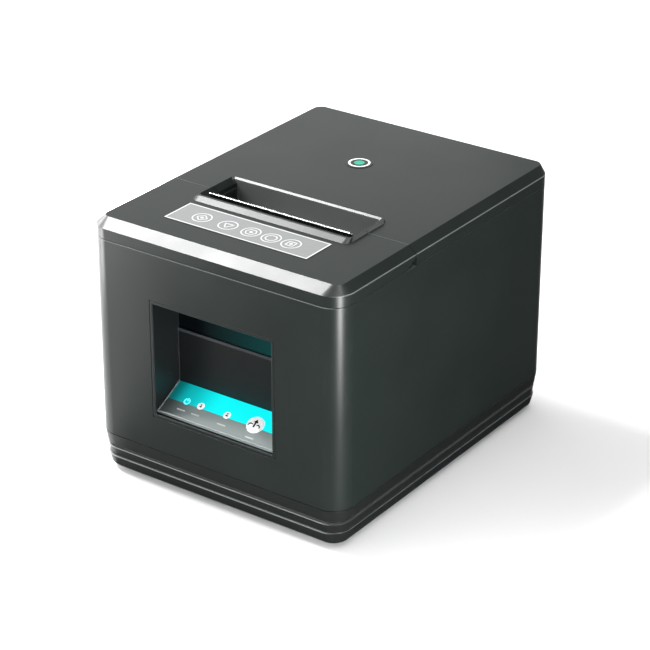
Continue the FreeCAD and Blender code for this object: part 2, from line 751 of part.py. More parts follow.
def print_head():
    """The thermal head on its heat sink, and the rod that they tilt on."""
    piece("print_head", box("head_strip", ("-41", "41"), ("-27.3", "-26.3"), ("99", "platen_level + 0.6")))
    sink = fuse("sink_sum", [
        box("sink_plate", ("-43", "43"), ("-30.8", "-27.3"), ("98", "platen_level + 0.6")),
        box("sink_foot", ("-43", "43"), ("-33", "-27.3"), ("98", "103")),
    ])
    bore = cylinder("sink_bore", "x", "pin_radius + running", ("-50", "50"), ("-30.2", "100.5"))
    piece("head_heat_sink", cut("sink_cut", sink, [bore]))
    piece("head_pivot_rod", cylinder("pivot_rod", "x", "pin_radius",
                                     ("-plate_inner - sheet_metal", "plate_inner + sheet_metal"),
                                     ("-30.2", "100.5")))


def head_springs():
    """Two bent leaf springs between the front cross plate and the heat sink."""
    seat = -37.0
    tip = -30.9
    leaf = 0.55
    middle = 107.4
    half = 3.2
    width = 10.0
    corners = [
        Vector(seat, middle - half, 0),
        Vector(tip, middle, 0),
        Vector(seat, middle + half, 0),
        Vector(seat, middle + half - leaf, 0),
        Vector(tip - 2 * leaf, middle, 0),
        Vector(seat, middle - half + leaf, 0),
    ]
    upright = FreeCAD.Rotation(Vector(1, 1, 1), 120)
    springs = []
    for number, x in enumerate((-24, 24)):
        spring = doc.addObject("Part::Feature", f"head_spring_{number}")
        spring.Shape = Part.Face(Part.makePolygon(corners + corners[:1])).extrude(Vector(0, 0, width))
        spring.Placement = FreeCAD.Placement(Vector(x - width / 2, 0, 0), upright)
        springs.append(spring)
    return piece("head_springs", group("head_spring_set", springs))


def platen():
    """The platen roller on its shaft, with bushes, bracket and gear; all lift with the lid."""
    axis = ("platen_depth", "platen_level")
    piece("platen_roller", ring("platen_rubber", "x", "platen_radius", "shaft_radius", ("-40.5", "40.5"), axis))
    piece("platen_shaft", cylinder("platen_rod", "x", "shaft_radius",
                                   ("gear_inner - gear_width - 0.6", "plate_inner + sheet_metal + 1"), axis))
    bushes = [
        ring(f"platen_bush_{number}", "x", "bush_radius", "shaft_radius + running", span, axis)
        for number, span in enumerate(both_sides("44.6", "48"))
    ]
    piece("platen_bushes", group("platen_bush_set", bushes))
    arms = [
        box(f"bracket_arm_{number}", span, ("-25", "-12"), ("104", "129.2"))
        for number, span in enumerate(both_sides("45.2", "46.6"))
    ]
    arms.append(box("bracket_bridge", ("-46.6", "46.6"), ("-14", "5"), ("127.8", "129.2")))
    holes = [
        cylinder("bracket_bore", "x", "bush_radius", ("-50", "50"), axis),
    ]
    for number, (x, y) in enumerate(BRACKET_SCREW_PLACES):
        holes.append(cylinder(f"bracket_hole_{number}", "z", "1.4", ("120", "130"), (f"{x}", f"{y}")))
    piece("platen_bracket", cut("bracket_cut", fuse("bracket_sum", arms), holes))
    screws = [
        screw(f"bracket_screw_{number}", "z", (f"{x}", f"{y}"), ("125.8", "127.8"), "2.6",
              ("127.8", "132.4"), "1.2")
        for number, (x, y) in enumerate(BRACKET_SCREW_PLACES)
    ]
    piece("bracket_screws", group("bracket_screw_set", screws))
    tooth_gap = 180 / size("platen_teeth")
    piece("platen_gear", feed_gear("platen_wheel", "platen_teeth", size("platen_depth"),
                                   size("platen_level"), -90 + tooth_gap, size("shaft_radius")))


def feed_drive():
    """The idler on its stud and the feed motor with its pinion."""
    level = idler_level()
    depth, motor_level = motor_axis()
    piece("idler_gear", feed_gear("idler_wheel", "idler_teeth", size("platen_depth"), level, 90,
                                  2 + size("running")))
    stud_axis = ("platen_depth", f"{level}")
    piece("idler_stud", fuse("stud_sum", [
        cylinder("stud_pin", "x", "2", ("gear_inner - gear_width - 1.6", "-plate_inner - sheet_metal"), stud_axis),
        cylinder("stud_head", "x", "3.4", ("gear_inner - gear_width - 1.6", "gear_inner - gear_width - 0.4"),
                 stud_axis),
    ]))
    axis = (f"{depth}", f"{motor_level}")
    can = cylinder("motor_can", "x", "13", ("-plate_inner", "-31"), axis)
    bore = cylinder("motor_bore", "x", "pin_radius + running", ("-plate_inner - 1", "-37"), axis)
    piece("feed_motor", cut("motor_cut", can, [bore]))
    pinion = feed_gear("pinion_wheel", "motor_teeth", depth, motor_level, 45, 1.0)
    shaft = cylinder("pinion_shaft", "x", "pin_radius", ("gear_inner - gear_width", "-38"), axis)
    piece("feed_motor_pinion", fuse("pinion_sum", [pinion, shaft]))


# ---- cutter ----


def cutter_frame():
    """The tray that guides the moving blade."""
    added = [box("cutter_tray", ("-44.5", "44.5"), ("-76", "-34"), ("114", "116"))]
    for number, span in enumerate(both_sides("42.2", "44.5")):
        added.append(box(f"cutter_rail_{number}", span, ("-76", "-34"), ("115", "120.4")))
    for number, span in enumerate(both_sides("38.5", "44.5")):
        added.append(box(f"cutter_lip_{number}", span, ("-76", "-44.5"), ("119", "120.4")))
    for number, span in enumerate(both_sides("44", "plate_inner")):
        added.append(box(f"cutter_ear_{number}", span, ("-70", "-44"), ("112", "115.5")))
    shaft_hole = cylinder("cutter_shaft_hole", "z", "2.4", ("110", "118"), ("cutter_side", "cutter_depth"))
    return piece("cutter_frame", cut("cutter_frame_cut", fuse("cutter_frame_sum", added), [shaft_hole]))


def rack_teeth():
    """Rack teeth that point towards the cutter pinion, one of them centred on its axis."""
    module = size("rack_module")
    pitch = math.pi * module
    pitch_line = size("cutter_side") + module * size("cutter_teeth") / 2 + 0.1
    tip = pitch_line - 0.9 * module
    root = pitch_line + 1.25 * module
    lean = math.tan(math.radians(20))
    half = pitch / 4 - 0.1
    teeth = []
    for number in range(-5, 2):
        middle = size("cutter_depth") + number * pitch
        corners = [
            Vector(tip, middle - half + (pitch_line - tip) * lean, 0),
            Vector(tip, middle + half - (pitch_line - tip) * lean, 0),
            Vector(root + 0.5, middle + half + (root + 0.5 - pitch_line) * lean, 0),
            Vector(root + 0.5, middle - half - (root + 0.5 - pitch_line) * lean, 0),
        ]
        face = Part.Face(Part.makePolygon(corners + corners[:1]))
        teeth.append(face.extrude(Vector(0, 0, size("blade_thickness"))))
    rack = doc.addObject("Part::Feature", "rack_teeth")
    rack.Shape = teeth[0].multiFuse(teeth[1:])
    rack.Placement = FreeCAD.Placement(Vector(0, 0, size("blade_level")), FreeCAD.Rotation())
    return rack, root


def cutter_blade():
    """The moving blade: a steel plate with a rack in a slot round the pinion."""
    rack, root = rack_teeth()
    top = "blade_level + blade_thickness"
    plate = box("blade_plate", ("-41.6", "41.6"), ("-74.5", "blade_edge"), ("blade_level", top))
    slot = box("blade_slot", ("cutter_side - 6.4", f"{root}"), ("cutter_depth - blade_travel - 6.6",
               "cutter_depth + 6.6"), ("blade_level - 1", f"{top} + 1"))
    return piece("cutter_blade", fuse("blade_sum", [cut("blade_cut", plate, [slot]), rack]))


def cutter_drive():
    """The cutter motor below the tray and its pinion."""
    axis = ("cutter_side", "cutter_depth")
    can = cylinder("cutter_can", "z", "10", ("90", "113.9"), axis)
    bore = cylinder("cutter_bore", "z", "pin_radius + running", ("107", "115"), axis)
    piece("cutter_motor", cut("cutter_can_cut", can, [bore]))
    gap = 180 / size("cutter_teeth")
    wheel = doc.addObject("Part::Feature", "cutter_wheel")
    wheel.Shape = gear_wheel(int(size("cutter_teeth")), size("rack_module"), gap, 1.0, 1.8)
    wheel.Placement = FreeCAD.Placement(
        Vector(size("cutter_side"), size("cutter_depth"), size("blade_level") - 0.4), FreeCAD.Rotation())
    shaft = cylinder("cutter_shaft", "z", "pin_radius", ("108", "blade_level + 1.4"), axis)
    piece("cutter_pinion", fuse("cutter_pinion_sum", [wheel, shaft]))


def fixed_blade():
    """The fixed blade, carried by the lid above the platen."""
    return piece("fixed_blade", box("fixed_plate", ("-45.2", "45.2"), ("-31", "-18"), ("118.6", "119.6")))


# ---- paper bucket and sensors ----


def paper_bucket():
    """The trough that holds the roll: a round bottom with upright walls."""
    outer = "roll_radius + bucket_wall"
    half = "roll_half + bucket_wall"
    outside = fuse("bucket_outside", [
        cylinder("bucket_round", "x", outer, (f"-({half})", half), ("roll_depth", "roll_level")),
        box("bucket_upright", (f"-({half})", half), (f"roll_depth - ({outer})", f"roll_depth + {outer}"),
            ("roll_level", "bucket_top")),
    ])
    inside = fuse("bucket_inside", [
        cylinder("bucket_hollow", "x", "roll_radius", ("-roll_half", "roll_half"), ("roll_depth", "roll_level")),
        box("bucket_mouth", ("-roll_half", "roll_half"), ("roll_depth - roll_radius", "roll_depth + roll_radius"),
            ("roll_level", "bucket_top + 10")),
    ])
    trim = box("bucket_trim", ("-60", "60"), ("-60", "100"), ("bucket_top", "150"))
    window = box("bucket_window", ("roll_half - 1", "roll_half + 5"), ("38", "50"), ("49", "61"))
    front_gap = box("bucket_front_gap", ("-roll_half", "roll_half"), ("-5", "8"), ("104", "130"))
    return piece("paper_bucket", cut("bucket_cut", outside, [inside, trim, window, front_gap]))


def sensors():
    """The paper guide with its sensor, and the lever that feels when the roll runs low."""
    piece("paper_guide", box("guide_plate", ("-43", "43"), ("-23", "-1"), ("98", "100")))
    piece("paper_sensor", box("sensor_block", ("-4", "4"), ("-18", "-10"), ("100", "101.6")))
    arm = box("low_arm", ("44.2", "46.2"), ("40", "65.2"), ("52", "58"))
    hub = ring("low_hub", "z", "3", "pin_radius + running", ("52", "58"), ("47", "67"))
    nose = box("low_nose", ("40", "45"), ("40", "45"), ("52", "58"))
    piece("low_paper_lever", fuse("low_lever_sum", [arm, nose, hub]))
    piece("low_lever_pin", cylinder("low_pin", "z", "pin_radius", ("46", "62"), ("47", "67")))
    bracket = fuse("low_bracket_sum", [
        box("low_bracket_low", ("42.8", "52"), ("63", "72"), ("45", "51.6")),
        box("low_bracket_high", ("42.8", "52"), ("63", "72"), ("58.4", "62")),
        box("low_bracket_back", ("50.6", "52"), ("63", "72"), ("51", "59")),
    ])
    hole = cylinder("low_bracket_hole", "z", "pin_radius", ("46", "63"), ("47", "67"))
    piece("low_lever_bracket", cut("low_bracket_cut", bracket, [hole]))


# ---- main board and rear connectors ----

BOARD_SCREW_PLACES = [(x, y) for x in (-52, 52) for y in (14, 66)]
SOCKETS = [
    # node, middle x, half width, height, cavity half width, cavity low, cavity high
    ("usb_socket", -22.0, 6.0, 11.0, 4.3, 1.6, 9.4),
    ("network_socket", 0.0, 8.0, 13.5, 5.9, 2.4, 10.6),
    ("drawer_socket", 22.0, 6.6, 12.5, 4.9, 2.6, 9.6),
]
INLET_PLACE = 45.0


def main_board():
    plate = box("board_plate", ("-55.6", "55.6"), ("6", "88"), ("board_level", "board_level + board_thickness"))
    holes = [
        cylinder(f"board_hole_{number}", "z", "1.6", ("board_level - 1", "board_level + 3"), (f"{x}", f"{y}"))
        for number, (x, y) in enumerate(BOARD_SCREW_PLACES)
    ]
    piece("main_board", cut("board_cut", plate, holes))
    screws = [
        screw(f"board_screw_{number}", "z", (f"{x}", f"{y}"), ("board_level + board_thickness",
              "board_level + board_thickness + 1.8"), "2.8", ("17", "board_level + board_thickness"), "1.2")
        for number, (x, y) in enumerate(BOARD_SCREW_PLACES)
    ]
    piece("board_screws", group("board_screw_set", screws))


def rear_sockets():
    """The sockets on the board's rear edge, each with its open mouth."""
    floor = "board_level + board_thickness"
    for label, x, half, height, mouth, low, high in SOCKETS:
        shell = box(f"{label}_shell", (f"{x - half}", f"{x + half}"), ("74", "90.9"),
                    (floor, f"{floor} + {height}"))
        cavity = box(f"{label}_cavity", (f"{x - mouth}", f"{x + mouth}"), ("79", "92"),
                     (f"{floor} + {low}", f"{floor} + {high}"))
        piece(label, cut(f"{label}_cut", shell, [cavity]))
    shell = box("inlet_shell", (f"{INLET_PLACE} - 7", f"{INLET_PLACE} + 7"), ("74", "90.9"),
                (floor, f"{floor} + 14"))
    cavity = cylinder("inlet_cavity", "y", "5", ("79", "92"), (f"{INLET_PLACE}", f"{floor} + 7"))
    piece("power_inlet", cut("inlet_cut", shell, [cavity]))


def rear_panel():
    """The plate behind the rear opening, with a cut-out for each socket and the switch."""
    floor = "board_level + board_thickness"
    plate = box("rear_plate", ("-60", "60"), ("depth / 2 - wall - 1.2", "depth / 2 - wall"),
                (f"{floor} - 0.8", "52"))
    cuts = []
    spans = [(label, x - half, x + half, height) for label, x, half, height, *mouth in SOCKETS]
    spans.append(("inlet", INLET_PLACE - 7, INLET_PLACE + 7, 14.0))
    for label, left, right, height in spans:
        cuts.append(box(f"{label}_cutout", (f"{left} - 0.2", f"{right} + 0.2"), ("80", "95"),
                        (f"{floor} - 5", f"{floor} + {height} + 0.2")))
    cuts.append(box("switch_cutout", ("switch_place - 9.7", "switch_place + 9.7"), ("80", "95"),
                    ("29.8", "43.2")))
    return piece("rear_panel", cut("rear_panel_cut", plate, cuts))


def power_switch():
    """The rocker switch: a body with a round seat, and a rocker that tips about a vertical axis."""
    body = box("switch_box", ("switch_place - 9.5", "switch_place + 9.5"), ("74", "91.6"), ("30", "43"))
    axis = ("switch_place", "switch_pivot")
    seat = cylinder("switch_seat", "z", "8.6", ("31.2", "41.8"), axis)
    piece("power_switch_body", cut("switch_cut", body, [seat]))
    round_rocker = cylinder("rocker_round", "z", "8.2", ("31.6", "41.4"), axis)
    front = box("rocker_front", ("switch_place - 9", "switch_place + 9"), ("switch_pivot + 1", "switch_pivot + 7.4"),
                ("31", "42"))
    rocker = common("rocker_common", round_rocker, front)
    centre = Vector(size("switch_place"), size("switch_pivot"), 0)
    turn = FreeCAD.Rotation(Vector(0, 0, 1), -size("rocker_tilt"))
    rocker.Placement = FreeCAD.Placement(Vector(), turn, centre)
    piece("power_rocker", rocker)


# ---- the whole printer ----

base_pan()
rubber_feet()
case_screws()
main_housing()
hinge_pins()
front_half_cover, lid_half_cover = top_covers()
front_cover(front_half_cover)
lid(lid_half_cover)
lid_badge()
icon_label()
tear_bar()
niche_insert()
light_bar()
control_panel()
lenses()
feed_button()
panel_board()
mechanism_frame()
mechanism_stand()
print_head()
head_springs()
platen()
feed_drive()
cutter_frame()
cutter_blade()
cutter_drive()
fixed_blade()
paper_bucket()
sensors()
main_board()
rear_sockets()
rear_panel()
power_switch()
doc.recompute()

failed = [item.Name for item in doc.Objects if {"Invalid", "Error"} & set(item.State)]
for label, solid in PARTS.items():
    if solid.Shape.isNull() or not solid.Shape.isValid() or solid.Shape.Volume <= 0:
        failed.append(label)
if failed:
    raise RuntimeError(f"these objects failed: {failed}")

os.makedirs("parts", exist_ok=True)
for label, solid in PARTS.items():
    solid.Shape.exportStep(f"parts/{label}.step")
    box_of = solid.Shape.BoundBox
    print(f"{label:20s} solids {len(solid.Shape.Solids)} volume {solid.Shape.Volume:10.1f}"
          f" x {box_of.XMin:7.2f} {box_of.XMax:7.2f} y {box_of.YMin:7.2f} {box_of.YMax:7.2f}"
          f" z {box_of.ZMin:7.2f} {box_of.ZMax:7.2f}")
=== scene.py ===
"""Looks of the desktop receipt printer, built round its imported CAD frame.

Metres, +Z up, the front faces -Y.
"""
import math

import bmesh
import bpy
from mathutils import Matrix, Vector


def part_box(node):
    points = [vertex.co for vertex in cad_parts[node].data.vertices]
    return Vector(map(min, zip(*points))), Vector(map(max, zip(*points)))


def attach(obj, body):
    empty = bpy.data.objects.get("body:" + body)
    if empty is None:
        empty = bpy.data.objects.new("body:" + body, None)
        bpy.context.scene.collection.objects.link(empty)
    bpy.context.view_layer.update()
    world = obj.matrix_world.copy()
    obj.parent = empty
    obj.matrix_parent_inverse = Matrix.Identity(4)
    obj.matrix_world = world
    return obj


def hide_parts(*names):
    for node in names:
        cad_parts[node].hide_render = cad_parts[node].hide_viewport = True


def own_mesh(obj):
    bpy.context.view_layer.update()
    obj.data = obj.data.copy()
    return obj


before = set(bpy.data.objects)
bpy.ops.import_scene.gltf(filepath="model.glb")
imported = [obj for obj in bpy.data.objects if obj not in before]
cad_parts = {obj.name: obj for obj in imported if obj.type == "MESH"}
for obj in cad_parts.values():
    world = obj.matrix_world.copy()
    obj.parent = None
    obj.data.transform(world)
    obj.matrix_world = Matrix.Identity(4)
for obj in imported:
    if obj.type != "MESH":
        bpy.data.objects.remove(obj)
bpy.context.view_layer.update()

MM = 0.001
X, Y, Z = 0, 1, 2

# Places on the case that the finishes and the painted highlight lines go by, in millimetres.
BASE_LEDGES = (8.3, 13.2)  # the rims of the base's two lower bands
HOUSING_RIM = 125.9  # just under the seam between the housing and the front cover
SLOPE_FOOT = 131.75  # where the skirt turns into the slope round the top
LID_FRONT = -31.25  # the seam between the front cover and the lid
SLOT_HALF = 45.2  # the paper slot's walls all lie inside these four
SLOT_FRONT, SLOT_REAR = -43.6, -16.6
SLOT_FLOOR = 124.0


# ---------------------------------------------------------------- colour and shader nodes


def colour(hex_text):
    """An sRGB hex colour as Blender's linear RGBA."""
    channels = [int(hex_text[i : i + 2], 16) / 255 for i in (1, 3, 5)]
    linear = [c / 12.92 if c <= 0.04045 else ((c + 0.055) / 1.055) ** 2.4 for c in channels]
    return (*linear, 1.0)


def add(tree, kind, links=None, **settings):
    """Adds a node; links maps an input's name or number to a value or another node's output."""
    made = tree.nodes.new(kind)
    for name, value in settings.items():
        setattr(made, name, value)
    for key, value in (links or {}).items():
        if isinstance(value, bpy.types.NodeSocket):
            tree.links.new(value, made.inputs[key])
        else:
            made.inputs[key].default_value = value
    return made


def new_material(name):
    """An empty node material with its output node."""
    material = bpy.data.materials.new(name)
    material.use_nodes = True
    tree = material.node_tree
    tree.nodes.clear()
    return material, tree, tree.nodes.new("ShaderNodeOutputMaterial")


def principled(tree, output, values):
    """Adds the principled shader and joins it to the material's output."""
    shader = add(tree, "ShaderNodeBsdfPrincipled", values)
    tree.links.new(shader.outputs[0], output.inputs[0])


def object_place(tree):
    """The shaded point in the object's own metres."""
    return add(tree, "ShaderNodeTexCoord").outputs["Object"]


def split(tree, vector):
    """A vector's three parts, to be picked by X, Y or Z."""
    return add(tree, "ShaderNodeSeparateXYZ", {0: vector}).outputs


def maths(tree, operation, *values):
    """The result of a Math node."""
    return add(tree, "ShaderNodeMath", dict(enumerate(values)), operation=operation).outputs[0]


def noise(tree, grain_mm, detail=2.0, stretch=None):
    """A noise whose lumps are grain_mm across, optionally stretched along an axis."""
    place = object_place(tree)
    if stretch:
        place = add(tree, "ShaderNodeMapping", {"Vector": place, "Scale": stretch}).outputs[0]
    values = {"Vector": place, "Scale": 1 / (grain_mm * MM), "Detail": detail}
    return add(tree, "ShaderNodeTexNoise", values).outputs["Fac"]


def blend_of(tree, factor, low, high):
    """A colour between two, by a 0 to 1 factor; each is a hex text or another node's output."""
    low, high = (colour(c) if isinstance(c, str) else c for c in (low, high))
    mixer = add(tree, "ShaderNodeMix", {0: factor, 6: low, 7: high}, data_type="RGBA")
    return mixer.outputs[2]


def stretch_range(tree, value, low, high, to_low, to_high, smooth=False):
    """Maps a value from one range to another, clamped, with eased ends if smooth."""
    return add(
        tree,
        "ShaderNodeMapRange",
        {"Value": value, "From Min": low, "From Max": high, "To Min": to_low, "To Max": to_high},
        interpolation_type="SMOOTHSTEP" if smooth else "LINEAR",
    ).outputs[0]


def relief(tree, height, depth_mm, strength):
    """A normal tilted by a height pattern of the given depth."""
    values = {"Height": height, "Distance": depth_mm * MM, "Strength": strength}
    return add(tree, "ShaderNodeBump", values).outputs[0]


# ---------------------------------------------------------------- materials


def painted_rim_highlights(tree, base, pale, reach_mm, lips):
    """A base colour with thin pale lines along rims: painted highlights where a rounded rim would
    catch the light.

    Each lip is (axis, level in mm, facing axis, dull, bright): a line at that level along the
    axis, which fades as the normal's part along the facing axis goes from bright to dull.
    The line also fades out over reach_mm to each side of its level.
    """
    place = split(tree, object_place(tree))
    facing = split(tree, add(tree, "ShaderNodeNewGeometry").outputs["Normal"])
    total = 0.0
    for axis, level, side, dull, bright in lips:
        gap = maths(tree, "ABSOLUTE", maths(tree, "SUBTRACT", place[axis], level * MM))
        line = stretch_range(tree, gap, 0.0, reach_mm * MM, 1.0, 0.0, smooth=True)
        shine = stretch_range(tree, facing[side], dull, bright, 0.0, 1.0, smooth=True)
        total = maths(tree, "MAXIMUM", total, maths(tree, "MULTIPLY", line, shine))
    return blend_of(tree, total, base, pale)


def spark_eroded_plastic(name, dark, light, roughness, depth_mm=0.012, gloss=0.5, rims=None):
    """Injection-moulded ABS from a spark-eroded tool: a fine even grain breaks up the shine."""
    material, tree, output = new_material(name)
    clouds = noise(tree, 34.0, detail=3.0)
    base = blend_of(tree, clouds, dark, light)
    # optional painted highlight lines along rims, standing in for light caught by rounded edges
    if rims:
        base = painted_rim_highlights(tree, base, *rims)
    rough = stretch_range(tree, clouds, 0.3, 0.7, roughness - 0.03, roughness + 0.03)
    grain = relief(tree, noise(tree, 0.35), depth_mm, 0.6)
    values = {"Base Color": base, "Roughness": rough, "Normal": grain, "Specular IOR Level": gloss}
    principled(tree, output, values)
    return material


def rolled_steel(name, tint, roughness, brush=(1.0, 12.0, 12.0)):
    """Plated sheet, ground bar or drawn metal: fine lines left by rolling or grinding."""
    material, tree, output = new_material(name)
    lines = noise(tree, 2.2, detail=4.0, stretch=brush)
    rough = stretch_range(tree, lines, 0.3, 0.7, roughness - 0.07, roughness + 0.07)
    scratches = relief(tree, lines, 0.01, 0.35)
    base = blend_of(tree, lines, tint, "#c9cbca")
    values = {"Base Color": base, "Metallic": 1.0, "Roughness": rough, "Normal": scratches}
    principled(tree, output, values)
    return material


def acetal(name):
    """Natural acetal: waxy off-white, a little light passes into it."""
    material, tree, output = new_material(name)
    values = {
        "Base Color": blend_of(tree, noise(tree, 6.0), "#d9d6cb", "#e8e5dc"),
        "Roughness": 0.42,
        "Subsurface Weight": 0.15,
        "Subsurface Radius": (0.002, 0.0015, 0.001),
    }
    principled(tree, output, values)
    return material


def ground_rubber(name):
    """Ground nitrile rubber: matt, with a fine velvety nap from the stone."""
    material, tree, output = new_material(name)
    nap = noise(tree, 0.25, detail=3.0)
    base = blend_of(tree, nap, "#16171a", "#26272a")
    values = {"Base Color": base, "Roughness": 0.78, "Normal": relief(tree, nap, 0.02, 0.5)}
    principled(tree, output, values)
    return material


def solder_mask(name):
    """Green solder mask over copper: the tracks show as lighter lines on a 2.5 mm grid."""
    material, tree, output = new_material(name)
    grid = {
        "Vector": object_place(tree),
        "Scale": 1 / (2.5 * MM),
        "Mortar Size": 0.09,
        "Color1": (0, 0, 0, 1),
        "Color2": (0.15, 0.15, 0.15, 1),
        "Mortar": (1, 1, 1, 1),
    }
    tracks = add(tree, "ShaderNodeTexBrick", grid).outputs[0]
    base = blend_of(tree, tracks, "#0d3b22", "#1c5a36")
    principled(tree, output, {"Base Color": base, "Roughness": 0.32, "Coat Weight": 0.4})
    return material


def satin_coat(name, low, high, roughness):
    """An even satin face with a faint mottle: printed film or ink, a glaze, a bead painted pale as
    a highlight.
    """
    material, tree, output = new_material(name)
    base = blend_of(tree, noise(tree, 1.5), low, high)
    principled(tree, output, {"Base Color": base, "Roughness": roughness})
    return material


def lit_plastic(name, shade, glow, strength):
    """Tinted light-pipe plastic with a lamp behind it."""
    material, tree, output = new_material(name)
    values = {
        "Base Color": blend_of(tree, noise(tree, 3.0), shade, glow),
        "Roughness": 0.25,
        "Emission Color": colour(glow),
        "Emission Strength": strength,
    }
    principled(tree, output, values)
    return material


def matt_sheet(name, low, high, lump_mm):
    """Uncoated paper or card for the studio: matt and almost even."""
    material, tree, output = new_material(name)
    base = blend_of(tree, noise(tree, lump_mm), low, high)
    values = {"Base Color": base, "Roughness": 0.9, "Specular IOR Level": 0.1}
    principled(tree, output, values)
    return material


# ---------------------------------------------------------------- mesh helpers

MERGE_MM = 0.002  # corners nearer than this are one corner
FLAT_ANGLE = 0.6  # degrees: faces that turn less than this are one face
EDGE_ANGLE = 17.0  # degrees: edges that turn more than this get a radius


def link(name, data):
    """A new object in the scene."""
    piece = bpy.data.objects.new(name, data)
    bpy.context.scene.collection.objects.link(piece)
    return piece


def applied(piece):
    """Turns the piece's modifiers into its plain mesh."""
    graph = bpy.context.evaluated_depsgraph_get()
    mesh = bpy.data.meshes.new_from_object(piece.evaluated_get(graph))
    piece.modifiers.clear()
    piece.data = mesh
    return piece


def wear(piece, material, body, *nodes):
    """Gives a piece its material, its body and the CAD nodes that it stands for."""
    piece.data.materials.clear()
    piece.data.materials.append(material)
    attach(piece, body)
    if nodes:
        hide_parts(*nodes)
    return piece


def soften(piece, radius_mm, segments=3):
    """Rounds every real edge by a small radius and shades the faces smoothly between them."""
    bevel = piece.modifiers.new("edge_radius", "BEVEL")
    bevel.width = radius_mm * MM
    bevel.segments = segments
    bevel.limit_method = "ANGLE"
    bevel.angle_limit = math.radians(EDGE_ANGLE)
    bevel.use_clamp_overlap = True
    bevel.harden_normals = False
    for face in piece.data.polygons:
        face.use_smooth = True
    applied(piece)
    weighted = piece.modifiers.new("flat_faces", "WEIGHTED_NORMAL")
    weighted.keep_sharp = True
    weighted.weight = 60
    return applied(piece)


def moulding(node, radius_mm, segments=3):
    """A CAD node's shape with its faces joined up and its edges rounded, as it leaves the tool."""
    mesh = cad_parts[node].data.copy()
    work = bmesh.new()
    work.from_mesh(mesh)
    bmesh.ops.remove_doubles(work, verts=work.verts, dist=MERGE_MM * MM)
    bmesh.ops.dissolve_degenerate(work, edges=work.edges, dist=MERGE_MM * MM)
    bmesh.ops.dissolve_limit(
        work,
        angle_limit=math.radians(FLAT_ANGLE),
        use_dissolve_boundaries=False,
        verts=work.verts,
        edges=work.edges,
    )
    work.to_mesh(mesh)
    work.free()
    mesh.materials.clear()
    piece = soften(link(f"{node}_moulding", mesh), radius_mm, segments)
    low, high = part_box(node)
    for vertex in piece.data.vertices:
        vertex.co = [min(max(c, a), b) for c, a, b in zip(vertex.co, low, high)]
    return piece


def prism(work, outline, low, high, place):
    """Adds a closed prism: an outline of (a, b) points between two heights, set by a matrix."""
    bottom = [work.verts.new(place @ Vector((a, b, low))) for a, b in outline]
    top = [work.verts.new(place @ Vector((a, b, high))) for a, b in outline]
    count = len(outline)
    work.faces.new(list(reversed(bottom)))
    work.faces.new(top)
    for i in range(count):
        j = (i + 1) % count
        work.faces.new((bottom[i], bottom[j], top[j], top[i]))


def ring_prism(work, centre, outer, inner, low, high, place, sides, start, sweep):
    """Adds a raised ring, or an arc of one when the sweep is under 360 degrees."""
    whole = sweep >= 360
    steps = sides if whole else max(3, round(sides * sweep / 360))
    cells = []
    for i in range(steps + (0 if whole else 1)):
        angle = math.radians(start + sweep * i / steps)
        c, s = math.cos(angle), math.sin(angle)
        cells.append([
            work.verts.new(place @ Vector((centre[0] + r * c, centre[1] + r * s, z)))
            for r, z in ((inner, low), (outer, low), (outer, high), (inner, high))
        ])
    pairs = list(zip(cells, cells[1:])) + ([(cells[-1], cells[0])] if whole else [])
    for here, there in pairs:
        for i in range(4):
            j = (i + 1) % 4
            work.faces.new((here[i], here[j], there[j], there[i]))
    if not whole:
        work.faces.new(cells[0])
        work.faces.new(list(reversed(cells[-1])))


def from_work(name, work):
    """Turns a working mesh into an object whose faces look outward."""
    bmesh.ops.recalc_face_normals(work, faces=work.faces)
    mesh = bpy.data.meshes.new(name)
    work.to_mesh(mesh)
    work.free()
    return link(name, mesh)


def rectangle(a0, a1, b0, b1):
    """A rectangle's outline, between two places along each direction."""
    return [(a0, b0), (a1, b0), (a1, b1), (a0, b1)]


def polygon(centre, radius, sides, turn=0.0):
    """A regular outline, turned by some degrees."""
    angles = [math.radians(turn + 360 * i / sides) for i in range(sides)]
    return [(centre[0] + radius * math.cos(a), centre[1] + radius * math.sin(a)) for a in angles]


# ---------------------------------------------------------------- geometry nodes

ROW_INPUTS = {"Count": "Int", "Start": "Vector", "Step": "Vector", "Size": "Vector",
              "Finish": "Material"}


def row_tree(name, pointed):
    """A Geometry Nodes tree that lays a row of blocks, or of pointed teeth, along a line."""
    tree = bpy.data.node_groups.new(name, "GeometryNodeTree")
    face = tree.interface
    face.new_socket("Geometry", in_out="OUTPUT", socket_type="NodeSocketGeometry")
    for label, kind in ROW_INPUTS.items():
        face.new_socket(label, in_out="INPUT", socket_type=f"NodeSocket{kind}")
    given = tree.nodes.new("NodeGroupInput").outputs
    spacing = {"Count": given["Count"], "Start Location": given["Start"], "Offset": given["Step"]}
    line = add(tree, "GeometryNodeMeshLine", spacing, mode="OFFSET").outputs[0]
    if pointed:  # a four-sided cone on a unit square, turned to lie square with the row
        cone = {"Vertices": 4, "Radius Top": 0.0, "Radius Bottom": math.sqrt(0.5), "Depth": 1.0}
        unit = add(tree, "GeometryNodeMeshCone", cone).outputs["Mesh"]
        turned = {"Geometry": unit, "Rotation": (0.0, 0.0, math.pi / 4)}
        unit = add(tree, "GeometryNodeTransform", turned).outputs[0]
    else:
        unit = add(tree, "GeometryNodeMeshCube", {"Size": (1.0, 1.0, 1.0)}).outputs["Mesh"]
    spread = {"Points": line, "Instance": unit, "Scale": given["Size"]}
    copies = add(tree, "GeometryNodeInstanceOnPoints", spread).outputs[0]
    real = add(tree, "GeometryNodeRealizeInstances", {"Geometry": copies}).outputs[0]
    dressed = {"Geometry": real, "Material": given["Finish"]}
    finished = add(tree, "GeometryNodeSetMaterial", dressed).outputs[0]
    tree.links.new(finished, tree.nodes.new("NodeGroupOutput").inputs[0])
    return tree


BLOCK_ROW = row_tree("row_of_blocks", pointed=False)
TOOTH_ROW = row_tree("row_of_teeth", pointed=True)


